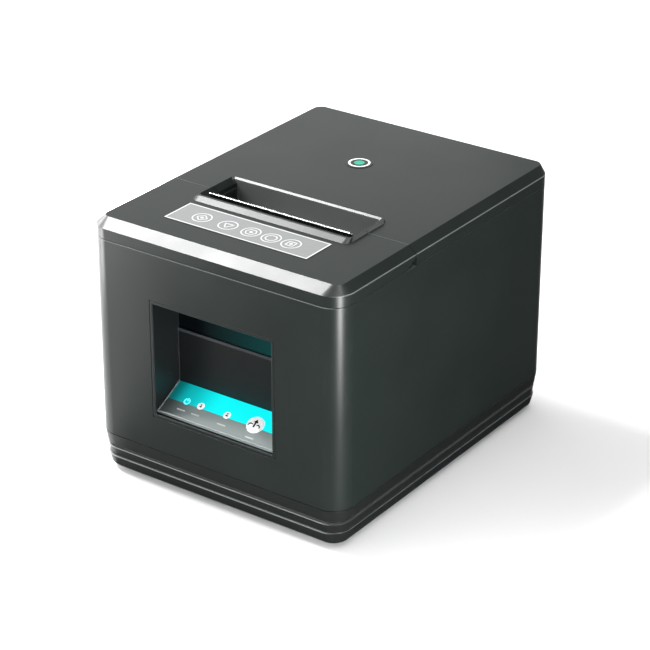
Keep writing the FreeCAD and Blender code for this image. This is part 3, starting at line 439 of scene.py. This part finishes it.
def row(name, tree, body, material, count, start, step, size):
    """A row in millimetres, made by a tree and turned into a plain mesh that rides on a body."""
    piece = link(name, bpy.data.meshes.new(name))
    modifier = piece.modifiers.new("row", "NODES")
    modifier.node_group = tree
    values = {"Count": count, "Start": Vector(start) * MM, "Step": Vector(step) * MM,
              "Size": Vector(size) * MM, "Finish": material}
    for item in tree.interface.items_tree:
        if item.in_out == "INPUT":
            modifier[item.identifier] = values[item.name]
    applied(piece)
    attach(piece, body)


# ---------------------------------------------------------------- finishes

CASE_TONES = ("#191f1d", "#1f2523")
# Painted rim highlights: the pale tone, the line's reach to each side in millimetres, and the
# lips.
BASE_RIM_HIGHLIGHTS = ("#a4a8a7", 0.45, [(Z, level, X, 0.6, -0.35) for level in BASE_LEDGES])
HOUSING_RIM_HIGHLIGHTS = ("#747a78", 0.45, [(Z, HOUSING_RIM, X, 0.75, 0.2)])
COVER_RIM_HIGHLIGHTS = ("#6c7270", 0.34, [(Z, SLOPE_FOOT, X, 0.25, 0.6), (Y, LID_FRONT, Z, 0.85, 0.97)])

CASE_PLASTIC = spark_eroded_plastic("charcoal_abs", *CASE_TONES, 0.32, gloss=0.4)
HOUSING_PLASTIC = spark_eroded_plastic(
    "housing_abs_painted_highlights", *CASE_TONES, 0.32, gloss=0.4, rims=HOUSING_RIM_HIGHLIGHTS)
COVER_PLASTIC = spark_eroded_plastic("cover_abs_painted_highlights", *CASE_TONES, 0.32, gloss=0.4, rims=COVER_RIM_HIGHLIGHTS)
BASE_PLASTIC = spark_eroded_plastic(
    "dark_base_abs_painted_highlights", "#191b1b", "#1d1f1f", 0.34, gloss=0.4, rims=BASE_RIM_HIGHLIGHTS)
NICHE_PLASTIC = spark_eroded_plastic("niche_abs", "#121415", "#171a1b", 0.38, gloss=0.35)
INNER_PLASTIC = spark_eroded_plastic("inner_abs", "#1d1e1f", "#242526", 0.5)
SOCKET_PLASTIC = spark_eroded_plastic("socket_nylon", "#131314", "#1a1a1b", 0.45)
# the slot's rear wall: the case's plastic painted lighter to stand in for the light falling into
# the slot
SLOT_WALL_PAINTED_LIGHT = spark_eroded_plastic("slot_wall_abs_painted_light", "#686b6a", "#707372", 0.36, gloss=0.4)
# a paler grey for the bead under the light bar: a painted highlight line
LEDGE_HIGHLIGHT_PLASTIC = spark_eroded_plastic("ledge_abs_painted_highlight", "#33363a", "#3a3d41", 0.4)
GLOSS_BLACK = spark_eroded_plastic("polished_abs", "#0e0f10", "#131415", 0.18, depth_mm=0.003)
STEEL = rolled_steel("zinc_plated_sheet", "#a9acad", 0.34)
GROUND_STEEL = rolled_steel("ground_steel", "#b4b6b7", 0.22, brush=(14.0, 1.0, 1.0))
ALUMINIUM = rolled_steel("extruded_aluminium", "#b9bbbd", 0.38, brush=(1.0, 20.0, 20.0))
BRASS = rolled_steel("turned_brass", "#b08d4c", 0.28, brush=(14.0, 1.0, 1.0))
GOLD = rolled_steel("gold_flash_contact", "#c9a353", 0.25)
ACETAL = acetal("natural_acetal")
RUBBER = ground_rubber("nitrile_rubber")
BOARD = solder_mask("green_solder_mask")
CERAMIC = satin_coat("glazed_ceramic", "#5a3a22", "#6b4a2e", 0.15)
LABEL_GREY = satin_coat("label_film_grey", "#7d7f7f", "#858787", 0.5)
LABEL_WHITE = satin_coat("label_ink_white", "#c4c6c6", "#cccecd", 0.45)
BEAD_HIGHLIGHT_GREY = satin_coat("bead_painted_highlight_grey", "#5f6665", "#6a7170", 0.35)
DARK_INK = satin_coat("dark_ink", "#17191a", "#1f2122", 0.4)
WHITE_KEY = lit_plastic("white_key_acrylic", "#e6eaea", "#f4f6f6", 0.5)
CYAN_LAMP = lit_plastic("cyan_lamp", "#0aa9b4", "#06bcc6", 0.8)
CYAN_MARK = lit_plastic("cyan_mark", "#4ff6f8", "#7afafb", 1.0)


def panel_plane():
    """The sloped panel's own frame: x across, y up the slope, z out of its face."""
    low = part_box("control_panel")[0]
    slope = math.radians(28.2)
    thickness = 1.2 * MM
    level = low.z + thickness * math.cos(slope)
    return Matrix.Translation((0, low.y, level)) @ Matrix.Rotation(slope, 4, "X")


PANEL = panel_plane()


def lit_panel_film():
    """The panel's film: grey at the front, clear over a cyan lamp at the back. The film and the
    lamp's glow darken to the left as painted shade, and the grey film has a faint painted glow
    that evens out its light.
    """
    material, tree, output = new_material("lit_panel_film")
    panel = {"Vector": object_place(tree), "Location": tuple(PANEL.to_translation()),
             "Rotation": tuple(PANEL.to_euler())}
    place = split(tree, add(tree, "ShaderNodeMapping", panel, vector_type="TEXTURE").outputs[0])

    def fade(axis, low, high, to_low=0.0):
        values = (low * MM, high * MM, to_low, 1.0)
        return stretch_range(tree, place[axis], *values, smooth=True)

    lit = fade(Y, 8.5, 9.1)
    # painted shade: the lamp's glow darkens towards the niche's left wall
    lamp_painted_shade = maths(tree, "MULTIPLY", fade(X, -33.0, -24.0, 0.18), fade(X, -26.0, -4.0, 0.4))
    lamp = blend_of(tree, maths(tree, "MULTIPLY", lamp_painted_shade, lit), "#000000", "#05f2f4")
    # painted shade on the grey film towards the left, and a faint painted glow on it
    shaded = fade(X, -34.0, -12.0)
    film = blend_of(tree, shaded, "#363b3b", "#6d7675")
    painted_glow = blend_of(tree, shaded, "#1d2222", "#5a6462")
    values = {
        "Base Color": blend_of(tree, lit, film, "#0a6f74"),
        "Roughness": 0.45,
        "Specular IOR Level": 0.3,
        "Emission Color": blend_of(tree, lit, painted_glow, lamp),
        "Emission Strength": 1.0,
    }
    principled(tree, output, values)
    return material


def lid_badge_print():
    """The lid's badge: foil in the case's own grey, with a printed white ring and green dot."""
    material, tree, output = new_material("badge_foil")
    low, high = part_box("lid_badge")
    middle = (low + high) / 2
    badge = {"Vector": object_place(tree), "Location": (middle.x, middle.y, high.z)}
    place = add(tree, "ShaderNodeMapping", badge, vector_type="TEXTURE").outputs[0]
    reach = add(tree, "ShaderNodeVectorMath", {0: place}, operation="LENGTH").outputs["Value"]

    def edge(radius_mm, inside, outside):
        blur_mm = 0.1
        ends = (radius_mm * MM, (radius_mm + blur_mm) * MM)
        return stretch_range(tree, reach, *ends, inside, outside)

    ring = maths(tree, "MULTIPLY", edge(5.5, 1.0, 0.0), edge(4.5, 0.0, 1.0))
    ringed = blend_of(tree, ring, "#222625", "#f2f4f4")
    dotted = blend_of(tree, edge(2.6, 1.0, 0.0), ringed, "#169b7e")
    values = {"Base Color": dotted, "Roughness": 0.34, "Specular IOR Level": 0.4}
    principled(tree, output, values)
    return material


def smoked_bar_painted_glow():
    """Smoked acrylic, almost black at the left and deep teal at the right: the teal colour and
    glow are painted light, the near black at the left painted shade.
    """
    material, tree, output = new_material("smoked_acrylic_painted_glow")
    across = split(tree, object_place(tree))[X]
    # painted light: dark at the left, teal and glowing at the right
    fade = stretch_range(tree, across, -26 * MM, 34 * MM, 0.0, 1.0, smooth=True)
    values = {
        "Base Color": blend_of(tree, fade, "#05080a", "#062a2c"),
        "Roughness": 0.2,
        "Specular IOR Level": 0.12,
        "Emission Color": blend_of(tree, fade, "#000205", "#014a47"),
        "Emission Strength": 0.45,
    }
    principled(tree, output, values)
    return material


# ---------------------------------------------------------------- camera, lights and floor


def sphere_place(azimuth, elevation, distance, target=(0, 0, 0.06)):
    """A point at a distance from a target, and the way to it; azimuth 0 is front, 90 right."""
    a, e = math.radians(azimuth), math.radians(elevation)
    out = Vector((math.sin(a) * math.cos(e), -math.cos(a) * math.cos(e), math.sin(e)))
    return Vector(target) + out * distance, out


def camera():
    data = bpy.data.cameras.new("camera")
    data.sensor_width = 36.0
    data.lens = 130.78
    data.clip_end = 50
    eye = link("camera", data)
    eye.location, out = sphere_place(
        azimuth=35.456, elevation=26.265, distance=1.178, target=(0, -0.0009, 0.0623))
    eye.rotation_mode = "QUATERNION"
    eye.rotation_quaternion = (-out).to_track_quat("-Z", "Y")
    bpy.context.scene.camera = eye


AIR_STRENGTH = 0.36
# Each lamp: name, place, the point it faces, width, height, and the brightness of its face.
LAMPS = (
    # wide lamps for the top, the rear and the left
    ("overhead_box", (-0.895, -0.1, 1.33), (0, -0.05, 0.13), 0.42, 0.4, 62),
    ("zenith_box", (0.12, 0.1, 1.3), (0, 0, 0.1), 0.5, 0.5, 5),
    ("rear_left_box", (-0.36, 0.34, 0.29), (0, 0.1, 0.14), 0.5, 0.2, 0.62),
    ("left_box", (-0.34, 0.09, 0.06), (-0.07, -0.05, 0.06), 0.45, 0.11, 12),
    # small lamps, each for one facet or corner of the case
    ("facet_box", (-0.514, 0.007, 0.325), (-0.067, -0.088, 0.133), 0.16, 0.2, 15),
    ("left_strip", (-0.187, -0.152, 0.062), (-0.065, -0.092, 0.12), 0.05, 0.035, 13),
    ("crown_box", (0.44, -0.04, 1.16), (0.07, -0.09, 0.13), 0.25, 0.25, 9),
    ("front_left_box", (-0.36, -0.34, 0.05), (-0.06, -0.09, 0.08), 0.26, 0.12, 1.5),
    ("corner_box", (0.297, -0.205, 0.055), (0.066, -0.085, 0.1), 0.06, 0.1, 68),
    # strips for the rounded front and side edges
    ("front_edge_box", sphere_place(-36, 27, 1.2)[0], (0, -0.09, 0.08), 0.35, 0.14, 14),
    ("side_edge_box", sphere_place(140, 16, 0.8)[0], (0.07, 0, 0.12), 0.3, 0.08, 8),
)


def softbox(name, place, target, width, height, radiance):
    """A rectangular diffused lamp whose face has a given brightness, turned to a target."""
    data = bpy.data.lights.new(name, "AREA")
    data.shape = "RECTANGLE"
    data.size, data.size_y = width, height
    data.energy = radiance * math.pi * width * height
    lamp = link(name, data)
    lamp.location = place
    lamp.rotation_mode = "QUATERNION"
    lamp.rotation_quaternion = (Vector(place) - Vector(target)).to_track_quat("Z", "Y")
    lamp.visible_camera = False


def flag(name, corners, material):
    """A matt card that only reflections see, set where shine would wash out the dark plastic."""
    work = bmesh.new()
    work.faces.new([work.verts.new(c) for c in corners])
    card = from_work(name, work)
    card.data.materials.append(material)
    card.visible_camera = card.visible_diffuse = card.visible_shadow = False


def studio():
    """The lamps, an even glow from all round, a pale sweep, and cards at the front and right."""
    for lamp in LAMPS:
        softbox(*lamp)
    world = bpy.data.worlds.new("studio_air")
    world.use_nodes = True
    air = world.node_tree.nodes["Background"].inputs
    air["Color"].default_value = colour("#ffffff")
    air["Strength"].default_value = AIR_STRENGTH
    bpy.context.scene.world = world
    work = bmesh.new()
    prism(work, rectangle(-6, 6, -6, 6), -0.02, 0.0, Matrix())
    floor = from_work("studio_floor", work)
    floor.data.materials.append(matt_sheet("white_paper_sweep", "#f4f4f4", "#f8f8f8", 400))
    dark_card = matt_sheet("black_card", "#2a2c2c", "#2f3131", 60)
    grey_card = matt_sheet("grey_card", "#5c5f5e", "#626564", 60)
    lift = 0.0005  # the two lower cards lie just clear of the sweep
    side = rectangle(0.07, 0.9, -0.9, 0.9)
    front = [(0.07, -0.9), (0.07, -0.08), (-0.06, -0.08), (-0.63, -0.9)]
    rear_right = [(0.2, 0.9, 0.1), (0.9, 0.7, 0.1), (0.9, 0.7, 1.1), (0.2, 0.9, 1.1)]
    flag("side_flag", [(x, y, lift) for x, y in side], dark_card)
    flag("front_flag", [(x, y, lift) for x, y in front], grey_card)
    flag("rear_right_flag", rear_right, dark_card)
    bpy.context.scene.view_settings.view_transform = "Standard"


# ---------------------------------------------------------------- the case


def refinish(piece, material, chosen):
    """Gives a second finish to the faces whose centre and normal pass a test."""
    piece.data.materials.append(material)
    for face in piece.data.polygons:
        if chosen(face.center, face.normal):
            face.material_index = 1


def case_shells():
    """The moulded shells, the button and the rocker, with every edge rounded."""
    insert_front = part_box("niche_insert")[0].y

    def slot_wall(centre, normal):
        """The slot's rear wall, coloured lighter than the outside as painted light on the same
        plastic.
        """
        across = abs(centre.x) < SLOT_HALF * MM
        along = SLOT_FRONT * MM < centre.y < SLOT_REAR * MM
        return across and along and centre.z > SLOT_FLOOR * MM and normal.y < -0.9

    def front_rim(centre, normal):
        """The insert's front rim, grained like the case that it is flush with."""
        return centre.y < insert_front + 0.5 * MM and normal.y < -0.3

    wear(moulding("main_housing", 0.5), HOUSING_PLASTIC, "chassis", "main_housing")
    cover = wear(moulding("front_cover", 0.5), COVER_PLASTIC, "chassis", "front_cover")
    refinish(cover, SLOT_WALL_PAINTED_LIGHT, slot_wall)
    lid = wear(moulding("lid", 0.55), COVER_PLASTIC, "lid", "lid")
    refinish(lid, SLOT_WALL_PAINTED_LIGHT, slot_wall)
    wear(moulding("base_pan", 0.45), BASE_PLASTIC, "chassis", "base_pan")
    insert = wear(moulding("niche_insert", 0.4), NICHE_PLASTIC, "chassis", "niche_insert")
    refinish(insert, CASE_PLASTIC, front_rim)
    wear(moulding("rear_panel", 0.3), GLOSS_BLACK, "chassis", "rear_panel")
    wear(moulding("feed_button", 0.35), WHITE_KEY, "button", "feed_button")
    wear(moulding("power_rocker", 0.4), GLOSS_BLACK, "rocker", "power_rocker")


# ---------------------------------------------------------------- prints on the panel and label

INK_FOOT, INK_TOP = -0.05, 0.06  # a print's underside and face, measured from what it is on


def decal(name, body, material, draw, place):
    """A raised print, drawn into a mesh by its own function, on a plane of its own."""
    work = bmesh.new()
    draw(work, place)
    return wear(from_work(name, work), material, body)


def raised(work, place, outline, foot, top):
    """A prism given in millimetres."""
    prism(work, [(a * MM, b * MM) for a, b in outline], foot * MM, top * MM, place)


def flat(work, place, outline):
    """One printed shape, from an outline in millimetres."""
    raised(work, place, outline, INK_FOOT, INK_TOP)


def hoop(work, place, centre, outer, inner, start=0.0, sweep=360.0, sides=40):
    """A printed ring, or an arc of one."""
    centre = [c * MM for c in centre]
    ring_prism(work, centre, outer * MM, inner * MM, INK_FOOT * MM, INK_TOP * MM, place,
               sides, start, sweep)


def bar(work, place, start, end, width):
    """A printed line between two points."""
    a, b = Vector(start), Vector(end)
    run = b - a
    side = Vector((-run.y, run.x)).normalized() * width / 2
    flat(work, place, [tuple(a - side), tuple(b - side), tuple(b + side), tuple(a + side)])


LABEL_MIDDLE = (-1.5, -61.65)
LABEL_HALF = (41.5, 10.05)
LABEL_BORDER = 0.8
# Each of the label's marks: its place across, and the sides and turn of the shape in its ring.
LABEL_MARKS = ((-27.5, 4, 0), (-12.1, 3, 30), (1.4, 6, 0), (13.1, 8, 22.5), (24.5, 4, 45))


def label_print(work, place):
    """A white border and five plain round marks, each with a simple shape in it."""
    (x, y), (w, d), edge = LABEL_MIDDLE, LABEL_HALF, LABEL_BORDER
    for low, high in ((y - d, y - d + edge), (y + d - edge, y + d)):
        flat(work, place, rectangle(x - w, x + w, low, high))
    for low, high in ((x - w, x - w + edge), (x + w - edge, x + w)):
        flat(work, place, rectangle(low, high, y - d + edge, y + d - edge))
    for number, (across, sides, turn) in enumerate(LABEL_MARKS):
        centre = (across, y - 0.6)
        hoop(work, place, centre, outer=5.0, inner=4.4)
        corners = polygon(centre, 2.9, sides, turn)
        for start, end in zip(corners, corners[1:] + corners[:1]):
            bar(work, place, start, end, width=0.6)
        if number % 2 == 0:
            flat(work, place, polygon(centre, 0.9, 20))


PANEL_ROW = 10.2  # how far up the slope the lights and the button are, in millimetres
BUTTON_X = 18.0


def panel_bars(work, place):
    """Short plain bars below the lights and the button."""
    for across, up in ((-23.3, 4.8), (-14.7, 4.8), (1.3, 4.4), (19.0, 2.8)):
        bar(work, place, (across - 2.4, up), (across + 2.4, up), width=0.75)


def power_mark(work, place):
    """An open ring with a short line at its gap."""
    x, y = -23.2, PANEL_ROW
    hoop(work, place, (x, y), outer=1.7, inner=1.25, start=120, sweep=300, sides=32)
    bar(work, place, (x, y + 0.4), (x, y + 1.9), width=0.45)


def status_marks(work, place):
    """A triangle under a short line, on each status light."""
    foot, tip, line = PANEL_ROW - 0.7, PANEL_ROW + 0.7, PANEL_ROW + 0.95
    for across in (-14.8, 1.0):
        flat(work, place, [(across - 0.8, foot), (across + 0.8, foot), (across, tip)])
        bar(work, place, (across - 0.9, line), (across + 0.9, line), width=0.3)


def feed_mark(work, place):
    """A feed arrow between two curved sheet edges."""
    x, y = BUTTON_X, PANEL_ROW
    flat(work, place, [(x - 1.4, y + 0.8), (x + 1.4, y + 0.8), (x, y + 2.7)])
    bar(work, place, (x, y - 1.9), (x, y + 0.9), width=0.9)
    for side, start in ((-2.0, 45), (2.0, -15)):
        hoop(work, place, (x + side, y - 1.3), outer=1.5, inner=0.85, start=start, sweep=150,
             sides=32)


def printing():
    label_face = Matrix.Translation((0, 0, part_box("icon_label")[1].z))
    button_face = PANEL @ Matrix.Translation((0, 0, 0.9 * MM))
    decal("label_print", "chassis", LABEL_WHITE, label_print, label_face)
    decal("panel_bars", "chassis", LABEL_WHITE, panel_bars, PANEL)
    decal("power_mark", "chassis", CYAN_MARK, power_mark, PANEL)
    decal("status_marks", "chassis", DARK_INK, status_marks, PANEL)
    decal("feed_mark", "button", DARK_INK, feed_mark, button_face)


WINDOW_HALF = 34.6  # half of the front window's inside width, in millimetres


def panel_beads(work, place):
    """Thin moulded beads along the panel's left side and front, pale grey as painted highlight
    lines.
    """
    corner = -34.0
    raised(work, place, rectangle(-WINDOW_HALF, corner, 0.0, 19.6), foot=-0.1, top=0.7)
    raised(work, place, rectangle(corner, WINDOW_HALF, 0.1, 1.0), foot=-0.1, top=0.5)


def ledge_bead(work, place):
    """The bead below the light bar, paler than the case as a painted highlight line."""
    half = WINDOW_HALF * MM
    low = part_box("light_bar")[0]
    outline = rectangle(-half, half, low.y - 0.95 * MM, low.y - 0.7 * MM)
    prism(work, outline, low.z - 1.6 * MM, low.z - 0.1 * MM, place)


def niche_beads():
    soften(decal("panel_beads", "chassis", BEAD_HIGHLIGHT_GREY, panel_beads, PANEL), 0.12, segments=2)
    decal("ledge_bead", "chassis", LEDGE_HIGHLIGHT_PLASTIC, ledge_bead, Matrix())


# ---------------------------------------------------------------- details that repeat


def tear_teeth():
    """The tear bar's ground edge: a plate with a row of pointed teeth along its top."""
    low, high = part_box("tear_bar")
    pitch, height = 1.0, 0.5
    work = bmesh.new()
    outline = rectangle(low.x, high.x, low.y, high.y)
    prism(work, outline, low.z, high.z - height * MM, Matrix())
    wear(from_work("tear_plate", work), GROUND_STEEL, "chassis", "tear_bar")
    row("tear_teeth", TOOTH_ROW, "chassis", GROUND_STEEL,
        count=int((high.x - low.x) / MM / pitch),
        start=(low.x / MM + pitch / 2, (low.y + high.y) / 2 / MM, high.z / MM - height / 2),
        step=(pitch, 0, 0),
        size=(pitch, (high.y - low.y) / MM, height))


def leaf_springs():
    """The two bent leaf springs, in ground steel on a mesh of their own; in the printer they
    flatten against their seat as the head tilts back.
    """
    springs = wear(moulding("head_springs", 0.1, segments=1), GROUND_STEEL, "chassis",
                   "head_springs")
    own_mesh(springs)


def lid_ribs():
    """Stiffening ribs under the lid, over the paper roll."""
    row("lid_ribs", BLOCK_ROW, "lid", CASE_PLASTIC,
        count=5, start=(0, 24, 132.3), step=(0, 12, 0), size=(120, 1.2, 1.6))


def blocks_across(name, material, count, first, level, pitch, size):
    """A row of blocks from left to right, fixed to the chassis."""
    row(name, BLOCK_ROW, "chassis", material,
        count=count, start=(*first, level), step=(pitch, 0, 0), size=size)


def connector_pins():
    """Contacts in the rear sockets, each row at its own height above the socket's underside."""
    for name, socket, count, first, above, pitch, size in (
        ("network_contacts", "network_socket", 8, (-3.57, 84.5), 10.45, 1.02, (0.45, 8.0, 0.25)),
        ("drawer_contacts", "drawer_socket", 6, (19.45, 84.5), 9.45, 1.02, (0.45, 8.0, 0.25)),
        ("usb_contacts", "usb_socket", 4, (-25.0, 83.5), 1.75, 2.0, (1.0, 7.0, 0.25)),
    ):
        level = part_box(socket)[0].z / MM + above
        blocks_across(name, GOLD, count, first, level, pitch, size)


def board_parts():
    """Chips and capacitors, standing on the main board."""
    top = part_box("main_board")[1].z / MM
    for name, material, count, first, pitch, size in (
        ("board_chips", SOCKET_PLASTIC, 3, (-30, 40), 22, (10, 10, 1.4)),
        ("board_chip_row", SOCKET_PLASTIC, 7, (-36, 24), 9, (4, 5, 1.0)),
        ("board_capacitors", CERAMIC, 12, (-38, 54), 6, (1.6, 0.9, 0.8)),
    ):
        blocks_across(name, material, count, first, top + size[Z] / 2, pitch, size)


def screw_cross_painted_shade():
    """The cross recess in the head of each case screw, seen from below, drawn as a thin dark patch
    of painted shade.
    """
    low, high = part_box("case_screws")
    head_radius = 3.0 * MM
    long_half, short_half = 2.0 * MM, 0.45 * MM
    work = bmesh.new()
    for x in (low.x + head_radius, high.x - head_radius):
        for y in (low.y + head_radius, high.y - head_radius):
            for w, d in ((long_half, short_half), (short_half, long_half)):
                outline = rectangle(x - w, x + w, y - d, y + d)
                prism(work, outline, low.z - 0.03 * MM, low.z + 0.05 * MM, Matrix())
    wear(from_work("screw_cross_painted_shade", work), DARK_INK, "chassis")


def carried_over():
    """CAD nodes whose shape is right keep their mesh and take their finish."""
    finishes = {
        INNER_PLASTIC: ["paper_bucket", "paper_guide", "cutter_frame", "mechanism_stand",
                        "low_lever_bracket"],
        SOCKET_PLASTIC: ["drawer_socket", "power_inlet", "push_switch", "paper_sensor",
                         "power_switch_body"],
        GLOSS_BLACK: ["feed_motor"],
        STEEL: ["mechanism_frame", "platen_bracket", "case_screws", "bracket_screws",
                "board_screws", "usb_socket", "network_socket", "cutter_motor"],
        GROUND_STEEL: ["hinge_pins", "head_pivot_rod", "platen_shaft", "idler_stud",
                       "cutter_blade", "fixed_blade", "low_lever_pin"],
        ALUMINIUM: ["head_heat_sink"],
        BRASS: ["feed_motor_pinion", "cutter_pinion"],
        ACETAL: ["platen_gear", "idler_gear", "platen_bushes", "low_paper_lever"],
        RUBBER: ["platen_roller", "rubber_feet"],
        BOARD: ["main_board", "panel_board"],
        CERAMIC: ["print_head"],
        LABEL_GREY: ["icon_label"],
        lid_badge_print(): ["lid_badge"],
        WHITE_KEY: ["status_lenses"],
        CYAN_LAMP: ["power_lens"],
        lit_panel_film(): ["control_panel"],
        smoked_bar_painted_glow(): ["light_bar"],
    }
    for material, nodes in finishes.items():
        for node in nodes:
            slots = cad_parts[node].data.materials
            for index in range(len(slots)):
                slots[index] = material


camera()
studio()
case_shells()
carried_over()
printing()
niche_beads()
tear_teeth()
leaf_springs()
lid_ribs()
connector_pins()
board_parts()
screw_cross_painted_shade()
